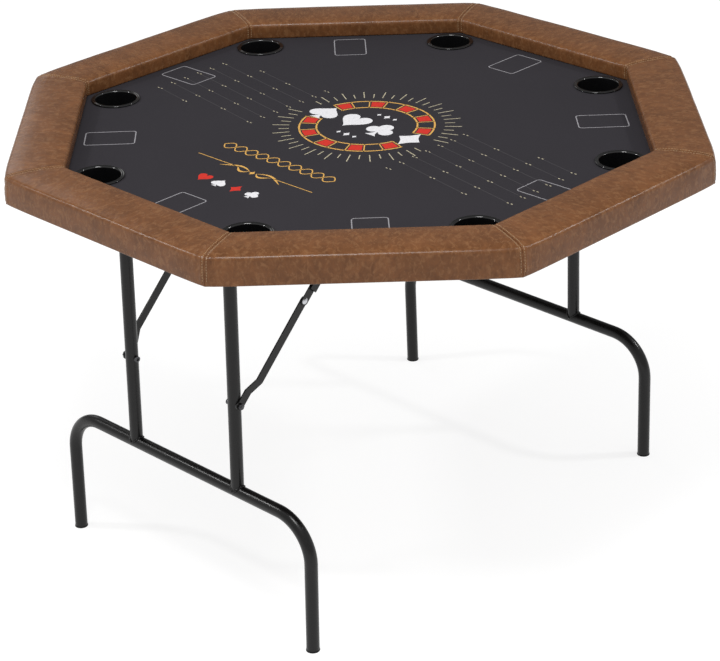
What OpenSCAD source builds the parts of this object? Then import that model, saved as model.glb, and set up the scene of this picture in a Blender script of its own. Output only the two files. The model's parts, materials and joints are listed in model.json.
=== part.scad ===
// Eight-sided poker table with a padded rail, eight cup holders and two folding leg frames.
// Origin on the floor under the middle of the top, +Z up.
// The leg frames stand at -X (left) and +X (right); their hinge axes run along Y.

/* [Table top] */
// Size across two opposite flat sides
top_w = 1200; // [1150:10:1250]
// Height of the top of the rail above the floor
top_h = 770; // [760:5:790]
// Width of the padded rail
rail_w = 100; // [90:1:110]
// Height of the rail's outer face
rail_h = 53; // [50:1:56]
// Depth of the playing surface below the top of the rail
play_drop = 33; // [30:1:35]
// Radius along the rail's top edges
rail_edge_r = 8; // [5:1:10]
// Thickness of the board
board_t = 15; // [12:1:16]
// Thickness of the leatherette and foam on the rail's upright faces
skin_t = 6; // [4:1:7]

/* [Cup holders] */
// Inner radius of a cup holder
cup_r = 37.5; // [36:0.5:38]
// Wall thickness of a cup holder
cup_wall = 1.8; // [1.5:0.1:2]
// Radius of the flange that rests on the cloth
cup_flange_r = 45; // [43:0.5:46]
// Height of a cup holder from its flange to its base
cup_h = 66; // [50:1:66]
// Distance of a cup holder's centre from the middle of the table
cup_ring_r = 482; // [478:1:484]

/* [Leg frames] */
// Radius of the steel tubes
tube_r = 11.5; // [11:0.1:11.5]
// Wall thickness of the steel tubes
tube_wall = 1.2; // [1:0.1:1.5]
// Distance of a hinge axis from the middle of the table
hinge_x = 440; // [436:1:444]
// Height of the hinge axis above the floor
hinge_z = 700; // [698:1:702]
// Distance of a foot from the middle of the table, along X
foot_x = 455; // [450:1:460]
// Distance of a foot from the middle of the table, along Y
foot_y = 308; // [298:1:318]
// Distance of an upright from the middle of the table, along Y
upright_y = 131.3; // [130.5:0.1:131.5]
// Height of the cross bar's centre above the floor
bar_z = 243; // [230:1:255]
// Bend radius of the foot tube, at its centre line
bend_r = 75; // [60:1:80]
// Radius of the tube that turns in the hinge clips
pivot_r = 9.5; // [9:0.1:9.5]

/* [Braces] */
// Height of the brace bolt above the floor
bolt_z = 410; // [405:1:415]
// Distance of the upper brace pivot from its leg frame's hinge axis
brace_reach = 285; // [284:0.5:286]
// Length of a lower brace strap between its pivots
strap_len = 208.1; // [207:0.1:209]
// Width of both brace links
link_w = 16; // [14:1:16]
// Thickness of a lower brace strap
strap_t = 2.5; // [2:0.1:2.5]
// Thickness of the channel's steel
channel_t = 1.5; // [1.2:0.1:1.5]
// Width of the channel over its two flanges
channel_w = 6.5; // [6:0.1:6.5]

/* [Hidden] */
SIDES = ["left", "right"];
ENDS = ["front", "rear"];
LEG_PARTS = ["foot_tube", "front_upright", "rear_upright", "pivot_tube", "foot_caps", "welds",
             "brace_bolts", "brace_nuts"];

$fn = 64;
eps = 1;
half = 180 / 8;
outer = top_w / 2;
inner = outer - rail_w;
under_z = top_h - rail_h;
cloth_z = top_h - play_drop;
cloth_t = 1.5;
wrap_t = 1.5;
wrap_w = 40;
board_z = under_z + wrap_t;
foam_z = board_z + board_t;
foam_t = cloth_z - cloth_t - foam_z;
block_h = 20;
mitre_gap = 0.3;

cup_body_r = cup_r + cup_wall;
cup_hole_r = cup_body_r + 0.5;
cup_flange_t = 3;
cup_floor_t = 2;

// The leg frame is drawn hanging from its hinge axis and is then leaned outwards.
lean = atan((foot_x - hinge_x) / hinge_z);
leg_len = hinge_z / cos(lean);
bar_drop = (hinge_z - bar_z) / cos(lean);
bolt_drop = (hinge_z - bolt_z) / cos(lean);
cap_h = 10;
cap_wall = 1.5;
upright_top = 10;
fit_gap = 0.02;
weld_lap = 0.05;
turn_gap = 0.1;
layer_gap = 0.3;
cap_gap = 1;
cap_lip = 0.7;

clip_y = 95;
clip_w = 22;
clip_r = 12.5;
clip_reach = 30;
clip_screw_x = 22;
plate_t = 2.5;
screw_r = 2;
screw_head_r = 4;
screw_head_h = 2.2;
screw_bite = 9.5;
screw_slot_w = 0.8;
screw_slot_l = 4;

// Layers of a brace, counted outwards along Y from the middle of the table.
bolt_r = 3;
saddle_t = 0.4;
nut_h = 4;
strap_y0 = upright_y + tube_r + saddle_t + layer_gap;
joggle = 10.9;
joggle_start = 28;
joggle_end = 52;
strap_y1 = strap_y0 + joggle;
channel_y = strap_y1 + strap_t + layer_gap;
tongue_y = channel_y + channel_t + layer_gap;
tongue_t = channel_w - 2 * channel_t - 2 * layer_gap;
tongue_r = 6;
pin_r = 2.5;
rivet_clear = 22;
bracket_w = 26;
bracket_l = 44;
bracket_screw_x = 14;

// Brace geometry in the XZ plane of the left frame, straight when the legs are open.
bolt_x = -hinge_x - bolt_drop * sin(lean);
upper_x = -hinge_x + brace_reach;
brace_len = norm([upper_x - bolt_x, hinge_z - bolt_z]);
brace_angle = atan2(hinge_z - bolt_z, upper_x - bolt_x);
channel_len = brace_len - strap_len;

module octagon(apothem) {
    rotate(half) circle(r = apothem / cos(half), $fn = 8);
}

module at_cups() {
    for (i = [0 : 7]) rotate(half + 45 * i) translate([cup_ring_r, 0]) children();
}

module sheet_with_holes(apothem, thickness) {
    linear_extrude(thickness) difference() {
        octagon(apothem);
        at_cups() circle(cup_hole_r);
    }
}

// A length of rail cut to its two mitres; children() is its section, X outwards and Y up.
module mitred_side(angle) {
    rotate(angle) intersection() {
        rotate([90, 0, 0]) linear_extrude(top_w, center = true) children();
        translate([mitre_gap / 2 / sin(half), 0, 0])
            linear_extrude(top_h + eps)
                polygon([[0, 0], [top_w, -top_w * tan(half)], [top_w, top_w * tan(half)]]);
    }
}

module block_section() {
    translate([inner + skin_t, cloth_z]) square([rail_w - 2 * skin_t, block_h]);
}

module pad_section() {
    difference() {
        union() {
            translate([inner, cloth_z]) square([rail_w, play_drop - rail_edge_r]);
            translate([inner + rail_edge_r, cloth_z]) square([rail_w - 2 * rail_edge_r, play_drop]);
            for (x = [inner + rail_edge_r, outer - rail_edge_r])
                translate([x, top_h - rail_edge_r]) circle(rail_edge_r);
            translate([outer - skin_t, under_z]) square([skin_t, rail_h - rail_edge_r]);
            translate([outer - wrap_w, under_z]) square([wrap_w, wrap_t]);
        }
        block_section();
    }
}

module board() {
    color("#3a2f28") difference() {
        translate([0, 0, board_z]) sheet_with_holes(outer - skin_t, board_t);
        translate([0, 0, board_z]) {
            at_clip_screws() cylinder(r = screw_r, h = screw_bite);
            at_bracket_screws() cylinder(r = screw_r, h = screw_bite);
        }
    }
}

module foam_sheet() {
    color("#8f8a80") translate([0, 0, foam_z]) sheet_with_holes(outer - skin_t, foam_t);
}

module playing_cloth() {
    color("#232326") translate([0, 0, cloth_z - cloth_t]) sheet_with_holes(outer - skin_t, cloth_t);
}

module rail_blocks() {
    color("#b08d62") for (i = [0 : 7]) mitred_side(45 * i) block_section();
}

module rail_pad(i) {
    color("#7a4a2b") mitred_side(45 * (i - 1)) pad_section();
}

module cup_section() {
    difference() {
        union() {
            translate([0, cup_flange_t - cup_h]) square([cup_body_r, cup_h]);
            square([cup_flange_r - cup_flange_t / 2, cup_flange_t]);
            translate([cup_flange_r - cup_flange_t / 2, cup_flange_t / 2]) circle(cup_flange_t / 2);
        }
        translate([-eps, cup_flange_t - cup_h + cup_floor_t]) square([cup_r + eps, cup_h]);
        translate([-cup_flange_r, -cup_h]) square([cup_flange_r, 2 * cup_h]);
    }
}

module cup_holder(i) {
    color("#0d0d0e")
        rotate(half + 45 * (i - 1))
            translate([cup_ring_r, 0, cloth_z])
                rotate_extrude() cup_section();
}

module at_side(side) {
    if (side == "left") children();
    else mirror([1, 0, 0]) children();
}

module at_end(end) {
    if (end == "rear") children();
    else mirror([0, 1, 0]) children();
}

module both_ends() {
    for (e = ENDS) at_end(e) children();
}

module at_clip_screws() {
    for (s = SIDES) at_side(s) both_ends()
        for (x = [-clip_screw_x, clip_screw_x]) translate([x - hinge_x, clip_y, 0]) children();
}

module at_bracket_screws() {
    for (s = SIDES) at_side(s) both_ends()
        for (x = [-bracket_screw_x, bracket_screw_x])
            translate([upper_x + x, tongue_y + tongue_t + bracket_w / 2, 0]) children();
}

module along_y(y, length) {
    translate([0, y, 0]) rotate([-90, 0, 0]) linear_extrude(length) children();
}

module screw() {
    cylinder(r = screw_r, h = plate_t + screw_bite);
    translate([0, 0, -screw_head_h]) difference() {
        cylinder(r = screw_head_r, h = screw_head_h);
        translate([0, 0, -eps]) for (a = [0, 90])
            rotate(a) translate([-screw_slot_w / 2, -screw_slot_l / 2, 0])
                cube([screw_slot_w, screw_slot_l, eps + screw_head_h / 2]);
    }
}

module clip_screws() {
    color("#c3c5c8") at_clip_screws() translate([0, 0, board_z - plate_t]) screw();
}

module bracket_screws() {
    color("#c3c5c8") at_bracket_screws() translate([0, 0, board_z - plate_t]) screw();
}

module hinge_clips(side) {
    color("#1c1c1e") at_side(side) both_ends()
        translate([-hinge_x, clip_y - clip_w / 2, hinge_z]) difference() {
            union() {
                along_y(0, clip_w) circle(clip_r);
                translate([-clip_r, 0, 0]) cube([2 * clip_r, clip_w, board_z - hinge_z]);
                translate([-clip_reach, 0, board_z - hinge_z - plate_t])
                    cube([2 * clip_reach, clip_w, plate_t]);
            }
            along_y(-eps, clip_w + 2 * eps) circle(pivot_r + turn_gap);
            for (x = [-clip_screw_x, clip_screw_x])
                translate([x, clip_w / 2, 0]) cylinder(r = screw_r, h = board_z);
        }
}

module brace_brackets(side) {
    color("#1c1c1e") at_side(side) both_ends() difference() {
        union() {
            translate([upper_x - bracket_l / 2, tongue_y, board_z - plate_t])
                cube([bracket_l, bracket_w + tongue_t, plate_t]);
            translate([upper_x, 0, hinge_z]) {
                along_y(tongue_y, tongue_t) circle(tongue_r);
                translate([-tongue_r, tongue_y, 0])
                    cube([2 * tongue_r, tongue_t, board_z - hinge_z]);
            }
        }
        translate([upper_x, 0, hinge_z]) along_y(tongue_y - eps, tongue_t + 2 * eps) circle(pin_r);
        for (x = [-bracket_screw_x, bracket_screw_x])
            translate([upper_x + x, tongue_y + tongue_t + bracket_w / 2, hinge_z])
                cylinder(r = screw_r, h = board_z);
    }
}

module bracket_pins() {
    pin_head_r = 4;
    pin_head_h = 1.5;
    head_gap = 0.2;
    color("#c3c5c8") for (s = SIDES) at_side(s) both_ends() translate([upper_x, 0, hinge_z]) {
        along_y(channel_y - head_gap, channel_w + 2 * head_gap) circle(pin_r);
        along_y(channel_y - head_gap - pin_head_h, pin_head_h) circle(pin_head_r);
        along_y(channel_y + channel_w + head_gap, pin_head_h) circle(pin_head_r);
    }
}

module leg_place(side) {
    at_side(side) translate([-hinge_x, 0, hinge_z]) rotate([0, lean, 0]) children();
}

module foot_bend(r) {
    both_ends() translate([0, foot_y - bend_r, -bar_drop - bend_r])
        rotate([90, 0, 90]) rotate_extrude(angle = 90) translate([bend_r, 0]) circle(r);
}

module foot_path(r, drop) {
    straight_y = foot_y - bend_r + weld_lap;
    both_ends() translate([0, foot_y, -drop]) cylinder(r = r, h = drop - bar_drop - bend_r + weld_lap);
    foot_bend(r);
    translate([0, 0, -bar_drop]) along_y(-straight_y, 2 * straight_y) circle(r);
}

module foot_tube(side) {
    tube_drop = leg_len - cap_wall - cap_gap;
    color("#1a1a1c") leg_place(side) difference() {
        foot_path(tube_r, tube_drop);
        foot_path(tube_r - tube_wall, tube_drop + eps);
    }
}

// Round cap pressed into the tube and over its end, trimmed level with the floor.
module foot_caps(side) {
    color("#101011") intersection() {
        leg_place(side) both_ends() translate([0, foot_y, -leg_len - eps]) {
            cylinder(r = tube_r + cap_lip, h = cap_wall + eps);
            cylinder(r = tube_r - tube_wall - fit_gap, h = cap_h);
        }
        translate([-top_w, -top_w, 0]) cube([2 * top_w, 2 * top_w, top_h]);
    }
}

module upright(side, end) {
    color("#1a1a1c") leg_place(side) at_end(end) difference() {
        translate([0, upright_y, -bar_drop]) cylinder(r = tube_r, h = bar_drop + upright_top);
        translate([0, upright_y, -bar_drop - eps])
            cylinder(r = tube_r - tube_wall, h = bar_drop + upright_top - tube_wall + eps);
        translate([0, 0, -bar_drop]) along_y(0, 2 * upright_y) circle(tube_r + fit_gap);
        translate([0, 0, -bolt_drop]) along_y(0, 2 * upright_y) circle(bolt_r + fit_gap);
    }
}

module upright_bodies() {
    both_ends() translate([0, upright_y, -bar_drop])
        cylinder(r = tube_r + fit_gap, h = bar_drop + upright_top + eps);
}

module pivot_tube(side) {
    color("#1a1a1c") leg_place(side) difference() {
        along_y(-upright_y, 2 * upright_y) circle(pivot_r);
        along_y(-upright_y - eps, 2 * upright_y + 2 * eps) circle(pivot_r - tube_wall);
        upright_bodies();
    }
}

// Fillet beads: a collar round each upright above the bar and round each end of the pivot tube.
module welds(side) {
    bead = 2;
    bead_edge = 0.3;
    color("#242426") leg_place(side) both_ends() difference() {
        union() {
            translate([0, upright_y, -bar_drop + tube_r / 2]) cylinder(
                r1 = tube_r + 2 * bead, r2 = tube_r + fit_gap + bead_edge, h = tube_r / 2 + 1.5 * bead
            );
            translate([0, upright_y - tube_r - bead, 0]) along_y(0, tube_r) circle(pivot_r + bead);
        }
        translate([0, 0, -bar_drop]) along_y(0, 2 * upright_y) circle(tube_r + fit_gap);
        translate([0, upright_y, -2 * bar_drop]) cylinder(r = tube_r + fit_gap, h = 3 * bar_drop);
        along_y(0, upright_y) circle(pivot_r + fit_gap);
        translate([-tube_r * 2, upright_y, -tube_r * 2]) cube([tube_r * 4, tube_r * 2, tube_r * 4]);
    }
}

module brace_bolts(side) {
    head_r = 5.5;
    head_h = 4;
    socket_h = 2;
    thread_out = 1;
    head_y = upright_y - tube_r - head_h - turn_gap;
    shank_y = head_y + socket_h + eps;
    color("#3a3b3e") leg_place(side) both_ends() translate([0, 0, -bolt_drop]) {
        along_y(shank_y, strap_y0 + strap_t + layer_gap + nut_h + thread_out - shank_y) circle(bolt_r);
        difference() {
            along_y(head_y, head_h) circle(head_r);
            along_y(head_y - eps, socket_h + eps) circle(head_r / 2, $fn = 6);
        }
    }
}

// Saddle washer against the upright, and a lock nut outside the strap.
module brace_nuts(side) {
    nut_r = 5.8;
    washer_r = 7;
    saddle_dip = 2;
    color("#3a3b3e") leg_place(side) both_ends() translate([0, 0, -bolt_drop]) {
        difference() {
            along_y(upright_y + tube_r - saddle_dip, saddle_dip + saddle_t) circle(washer_r);
            translate([0, upright_y, -tube_r * 2]) cylinder(r = tube_r + fit_gap, h = tube_r * 4);
            along_y(upright_y, tube_r * 2) circle(bolt_r + fit_gap);
        }
        difference() {
            along_y(strap_y0 + strap_t + layer_gap, nut_h) circle(nut_r, $fn = 6);
            along_y(upright_y, tube_r * 4) circle(bolt_r + fit_gap);
        }
    }
}

module brace_place(side, end) {
    at_side(side) at_end(end) translate([bolt_x, 0, bolt_z]) rotate([0, -brace_angle, 0]) children();
}

// Outline of a flat link with round ends, X along the link.
module link_outline(length) {
    translate([0, -link_w / 2]) square([length, link_w]);
    for (x = [0, length]) translate([x, 0]) circle(link_w / 2);
}

module brace_strap(side, end) {
    reach = strap_len + link_w;
    color("#222224") brace_place(side, end) difference() {
        intersection() {
            along_y(0, 2 * channel_y) link_outline(strap_len);
            translate([0, 0, -link_w]) linear_extrude(2 * link_w) polygon([
                [-link_w, strap_y0], [joggle_start, strap_y0], [joggle_end, strap_y1], [reach, strap_y1],
                [reach, strap_y1 + strap_t], [joggle_end, strap_y1 + strap_t],
                [joggle_start, strap_y0 + strap_t], [-link_w, strap_y0 + strap_t]
            ]);
        }
        for (x = [0, strap_len]) translate([x, 0, 0]) along_y(0, 2 * channel_y) circle(bolt_r + turn_gap);
    }
}

// Channel, open towards its leg frame; the outer flange stops short of the rivet.
module brace_channel(side, end) {
    color("#222224") brace_place(side, end) translate([strap_len, 0, 0]) difference() {
        along_y(channel_y, channel_w) link_outline(channel_len);
        translate([-link_w, channel_y + channel_t, channel_t - link_w / 2])
            cube([channel_len + 2 * link_w, channel_w - 2 * channel_t, link_w]);
        translate([-link_w, channel_y + channel_t, -link_w])
            cube([link_w + rivet_clear, channel_w, 2 * link_w]);
        along_y(0, 2 * channel_y) circle(bolt_r);
        translate([channel_len, 0, 0]) along_y(0, 2 * channel_y) circle(pin_r + turn_gap);
    }
}

module brace_rivet(side, end) {
    rivet_head_r = 6;
    rivet_head_h = 2.5;
    dome_r = (rivet_head_r * rivet_head_r + rivet_head_h * rivet_head_h) / (2 * rivet_head_h);
    color("#c9cbce") brace_place(side, end) translate([strap_len, 0, 0]) {
        along_y(channel_y, channel_t) circle(bolt_r);
        intersection() {
            translate([0, channel_y + channel_t + rivet_head_h - dome_r, 0]) sphere(dome_r);
            along_y(channel_y + channel_t, rivet_head_h) circle(rivet_head_r);
        }
    }
}

module leg_part(side, part) {
    if (part == "foot_tube") foot_tube(side);
    if (part == "front_upright") upright(side, "front");
    if (part == "rear_upright") upright(side, "rear");
    if (part == "pivot_tube") pivot_tube(side);
    if (part == "foot_caps") foot_caps(side);
    if (part == "welds") welds(side);
    if (part == "brace_bolts") brace_bolts(side);
    if (part == "brace_nuts") brace_nuts(side);
}

board();
foam_sheet();
playing_cloth();
rail_blocks();
clip_screws();
bracket_screws();
bracket_pins();
for (i = [1 : 8]) {
    rail_pad(i);
    cup_holder(i);
}
for (s = SIDES) {
    hinge_clips(s);
    brace_brackets(s);
    for (p = LEG_PARTS) leg_part(s, p);
    for (e = ENDS) {
        brace_strap(s, e);
        brace_channel(s, e);
        brace_rivet(s, e);
    }
}
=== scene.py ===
"""Eight-sided folding poker table: padded rail, printed cloth, cup holders and leg frames."""

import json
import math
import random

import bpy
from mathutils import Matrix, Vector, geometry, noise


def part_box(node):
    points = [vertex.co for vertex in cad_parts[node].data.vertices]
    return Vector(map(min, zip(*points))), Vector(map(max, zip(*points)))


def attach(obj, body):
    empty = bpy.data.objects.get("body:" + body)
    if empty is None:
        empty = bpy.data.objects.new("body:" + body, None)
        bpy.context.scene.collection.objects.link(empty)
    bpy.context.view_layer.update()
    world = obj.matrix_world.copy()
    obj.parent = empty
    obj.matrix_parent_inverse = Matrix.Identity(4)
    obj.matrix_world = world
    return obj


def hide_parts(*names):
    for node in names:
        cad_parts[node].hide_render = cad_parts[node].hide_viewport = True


bl_info = {
    "name": "Folding Poker Table",
    "version": (1, 0, 0),
    "blender": (4, 5, 0),
    "location": "3D View > Sidebar > Poker Table",
    "description": "Builds the rail, cloth, cups and finishes of an eight-sided folding poker table",
    "category": "Object",
}

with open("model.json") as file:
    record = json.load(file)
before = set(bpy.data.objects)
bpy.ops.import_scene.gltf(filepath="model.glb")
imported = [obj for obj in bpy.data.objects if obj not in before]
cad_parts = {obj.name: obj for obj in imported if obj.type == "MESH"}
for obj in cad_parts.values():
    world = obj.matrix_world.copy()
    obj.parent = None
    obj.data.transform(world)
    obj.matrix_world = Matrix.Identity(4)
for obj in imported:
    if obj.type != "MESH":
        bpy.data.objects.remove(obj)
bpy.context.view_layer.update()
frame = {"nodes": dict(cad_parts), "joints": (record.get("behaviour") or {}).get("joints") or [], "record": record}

MM = 0.001
SIDES = 8
HALF = math.pi / SIDES
TAN = math.tan(HALF)

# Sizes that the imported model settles, in metres.
SHEET_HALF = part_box("playing_cloth")[1].x
PAD_LOW, PAD_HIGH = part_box("rail_pad_1")
INNER, OUTER = PAD_LOW.x, PAD_HIGH.x
RAIL_BASE, RAIL_TOP = PAD_LOW.z, PAD_HIGH.z
CLOTH_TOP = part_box("playing_cloth")[1].z
BOARD_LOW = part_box("board")[0].z
BLOCK_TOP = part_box("rail_blocks")[1].z
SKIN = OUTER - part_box("board")[1].x
CUP_LOW, CUP_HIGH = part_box("cup_holder_1")
CUP_RIM = (CUP_HIGH.x - CUP_LOW.x) / 2
CUP_MOUTH = frame["record"]["mounts"][0]["dims"]["r_mm"] * MM
HOLE_RADIUS = CUP_MOUTH + 2.3 * MM
TOP_BODY = "table_top"


def linear(colour):
    """An 8-bit screen colour as linear red, green, blue."""
    return tuple(((c / 255 + 0.055) / 1.055) ** 2.4 if c > 10 else c / 255 / 12.92 for c in colour)


def clamped(share):
    """A share held between 0 and 1."""
    return min(max(share, 0), 1)


def bell(distance, width):
    """1 at no distance, fading smoothly over a width."""
    return math.exp(-((distance / width) ** 2))


# ---------------------------------------------------------------- settings


def colour_prop(name, description, default):
    return bpy.props.FloatVectorProperty(
        name=name, description=description, default=linear(default), size=3, subtype="COLOR", min=0, max=1
    )


def length_prop(name, description, default):
    return bpy.props.FloatProperty(
        name=name, description=description, default=default,
        unit="LENGTH", subtype="DISTANCE", precision=5
    )


def angle_prop(name, description, degrees):
    return bpy.props.FloatProperty(
        name=name, description=description, default=math.radians(degrees),
        unit="ROTATION", subtype="ANGLE"
    )


def number_prop(name, description, default):
    return bpy.props.FloatProperty(name=name, description=description, default=default)


class RailSettings(bpy.types.PropertyGroup):
    crown: length_prop("Crown", "How far the middle of the rail stands above its edges", 2.4 * MM)
    edge_radius: length_prop("Edge radius", "Rounding of the rail's top edges", 8 * MM)
    inner_swell: length_prop("Inner swell", "How far the pad leans in over the cloth", 1.5 * MM)
    side_swell: length_prop("Side swell", "How far the outer face swells at mid height", 0.9 * MM)
    seam_depth: length_prop("Seam depth", "How far the leatherette dips at a mitre seam", 0.5 * MM)
    corner_round: length_prop("Corner rounding", "How far its seam pulls an outer corner in", 5.5 * MM)
    welt: length_prop("Welt", "Height of the roll of leatherette beside the stitches", 0.9 * MM)
    pucker: length_prop("Pucker", "Height of the small puckers beside a seam", 0.55 * MM)
    hem_width: length_prop("Hem width", "Width of leatherette turned under the board", 40 * MM)
    stitch_length: length_prop("Stitch length", "Length of one stitch", 3.4 * MM)
    stitch_pitch: length_prop("Stitch pitch", "Distance from one stitch to the next", 4.6 * MM)
    stitch_offset: length_prop("Stitch offset", "Distance of a stitch row from its seam", 3.6 * MM)
    thread_radius: length_prop("Thread radius", "Radius of the sewing thread", 0.5 * MM)
    leather: colour_prop("Leatherette", "Main colour of the leatherette", (106, 68, 40))
    leather_dark: colour_prop("Dark patches", "Colour of the darker patches", (76, 46, 26))
    leather_worn: colour_prop("Worn patches", "Colour of the rubbed, lighter patches", (126, 89, 58))
    thread: colour_prop("Thread", "Colour of the sewing thread", (168, 140, 108))


class ClothSettings(bpy.types.PropertyGroup):
    cloth: colour_prop("Cloth", "Colour of the playing cloth", (40, 38, 42))
    gold: colour_prop("Gold ink", "Colour of the gold print", (196, 152, 80))
    red: colour_prop("Red ink", "Colour of the red print", (184, 44, 34))
    white: colour_prop("White ink", "Colour of the white print", (206, 205, 208))
    grey: colour_prop("Grey ink", "Colour of the card outlines", (138, 136, 140))
    faint: colour_prop("Faint ink", "Colour of the faint guide lines", (66, 64, 66))
    pale: colour_prop("Pale ink", "Colour of the dashes and rays", (174, 166, 142))
    rail_dip: length_prop("Rail dip", "How far the rail's foot presses the cloth down", 0.45 * MM)
    rim_dip: length_prop("Rim dip", "How far a cup's rim presses the cloth down", 0.25 * MM)
    ink_height: length_prop("Ink height", "Thickness of the printed ink", 0.12 * MM)
    print_turn: angle_prop("Print turn", "How far the print is turned on the board", 0.9)
    print_shift: length_prop("Print shift", "How far the print sits off centre", -5 * MM)
    medallion_radius: length_prop("Medallion radius", "Radius of the medallion's outer ring", 121 * MM)
    card_width: length_prop("Card width", "Width of a card outline", 60 * MM)
    card_length: length_prop("Card length", "Length of a card outline", 89 * MM)


class PartSettings(bpy.types.PropertyGroup):
    steel: colour_prop("Powder coat", "Colour of the powder-coated steel", (12, 11, 11))
    plastic: colour_prop("Cup plastic", "Colour of the cup holders", (12, 12, 13))
    zinc: colour_prop("Zinc", "Colour of the plated rivets and screws", (206, 208, 212))
    board: colour_prop("Board", "Colour of the board's underside", (52, 46, 42))
    weld_ripple: length_prop("Weld ripple", "Height of the ripples along a weld bead", 0.35 * MM)


class StageSettings(bpy.types.PropertyGroup):
    floor: colour_prop("Floor", "Colour of the floor", (162, 162, 162))
    lens: number_prop("Lens", "Camera lens in millimetres", 117.18)
    yaw: angle_prop("Yaw", "Camera heading", 44.90)
    pitch: angle_prop("Pitch", "Camera tilt below level", 26.36)
    roll: angle_prop("Roll", "Camera roll", -1.632)
    camera: bpy.props.FloatVectorProperty(
        name="Camera", description="Camera position", size=3, default=(-2.758, -2.738, 2.264),
        unit="LENGTH", subtype="TRANSLATION"
    )
    sky: number_prop("Sky", "Strength of the light from all round", 0.72)
    flag: number_prop("Flag", "Strength of the light behind the dark flag", 0.2)
    table_glow: number_prop("Floor glow", "Light from the pale floor itself", 0.76)
    softbox: number_prop("Softbox", "Power of the front softbox in watts", 62.0)
    strip: number_prop("Strips", "Power of each side strip light in watts", 23.0)
    side_box: number_prop("Side box", "Power of the far side softbox in watts", 9.0)


# ---------------------------------------------------------------- mesh helpers


def new_piece(name, vertices, faces, material, body, slot, smooth=True):
    """A mesh object in the row frame that rides on a body and takes the material it is given; its slot is not
    used.
    """
    mesh = bpy.data.meshes.new(name)
    mesh.from_pydata([tuple(v) for v in vertices], [], faces)
    mesh.materials.append(material)
    mesh.polygons.foreach_set("use_smooth", [smooth] * len(mesh.polygons))
    mesh.update()
    piece = bpy.data.objects.new(name, mesh)
    bpy.context.scene.collection.objects.link(piece)
    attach(piece, body)
    return piece


def lathe(profile, turns):
    """Vertices and faces of a closed profile turned about the Z axis; its ends lie on the axis."""
    vertices, faces, rings = [], [], []
    for radius, height in profile:
        if radius < 1e-7:
            rings.append([len(vertices)] * turns)
            vertices.append((0, 0, height))
        else:
            rings.append(list(range(len(vertices), len(vertices) + turns)))
            for t in range(turns):
                angle = 2 * math.pi * t / turns
                vertices.append((radius * math.cos(angle), radius * math.sin(angle), height))
    for a, b in zip(rings, rings[1:]):
        for t in range(turns):
            u = (t + 1) % turns
            corners = [a[t], a[u], b[u], b[t]]
            faces.append(tuple(dict.fromkeys(corners)))
    return vertices, [f for f in faces if len(f) > 2]


def arc(centre_x, centre_y, radius, start, end, steps):
    """Points on an arc, angles in degrees."""
    points = []
    for i in range(steps + 1):
        angle = math.radians(start + (end - start) * i / steps)
        points.append((centre_x + radius * math.cos(angle), centre_y + radius * math.sin(angle)))
    return points


# ---------------------------------------------------------------- materials


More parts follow.
